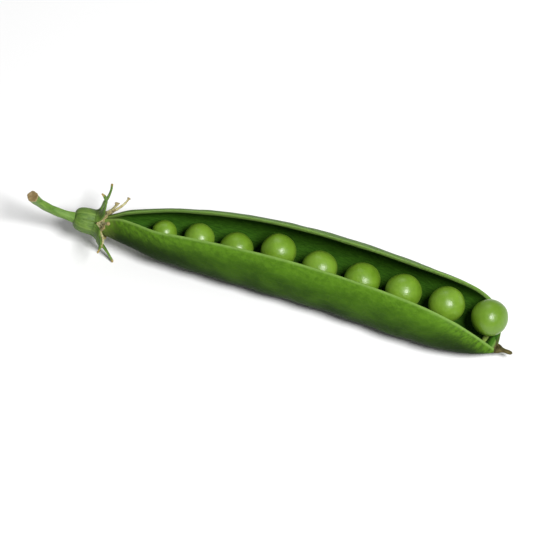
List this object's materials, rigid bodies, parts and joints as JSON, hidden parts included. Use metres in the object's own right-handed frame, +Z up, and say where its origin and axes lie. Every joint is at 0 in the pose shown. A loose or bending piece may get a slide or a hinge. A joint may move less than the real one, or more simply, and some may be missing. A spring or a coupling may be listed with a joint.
{
  "type": "pea pod",
  "caption": "Opened garden pea pod lying on its seam: parted valves cradle a row of round green peas, with a calyx, cut stem, withered stamens and a dry style at the tip.",
  "frame": {"origin": "on the flat spot under the lower seam that the pod rests on, near the middle of that spot", "axes": "+X runs along the pod from the stem end to the tip, +Y across it towards the far valve, +Z up out of the open side"},
  "size_m": [0.1096, 0.0243, 0.0188],
  "materials": {
    "pod_skin": "waxy, softly shiny skin with fine veins",
    "pea_skin": "smooth and shiny",
    "sepal_green": "dull, veined leaf",
    "stem_green": "satin, faintly ribbed",
    "dried_straw": "dry and papery"
  },
  "bodies": {
    "root": {"pod_shell": "pod_skin", "pea_1": "pea_skin", "pea_2": "pea_skin", "pea_3": "pea_skin", "pea_4": "pea_skin", "pea_5": "pea_skin", "pea_6": "pea_skin", "pea_7": "pea_skin", "pea_8": "pea_skin", "pea_9": "pea_skin", "calyx": "sepal_green", "stem": "stem_green", "stamen_remnant": "dried_straw"}
  },
  "joints": []
}
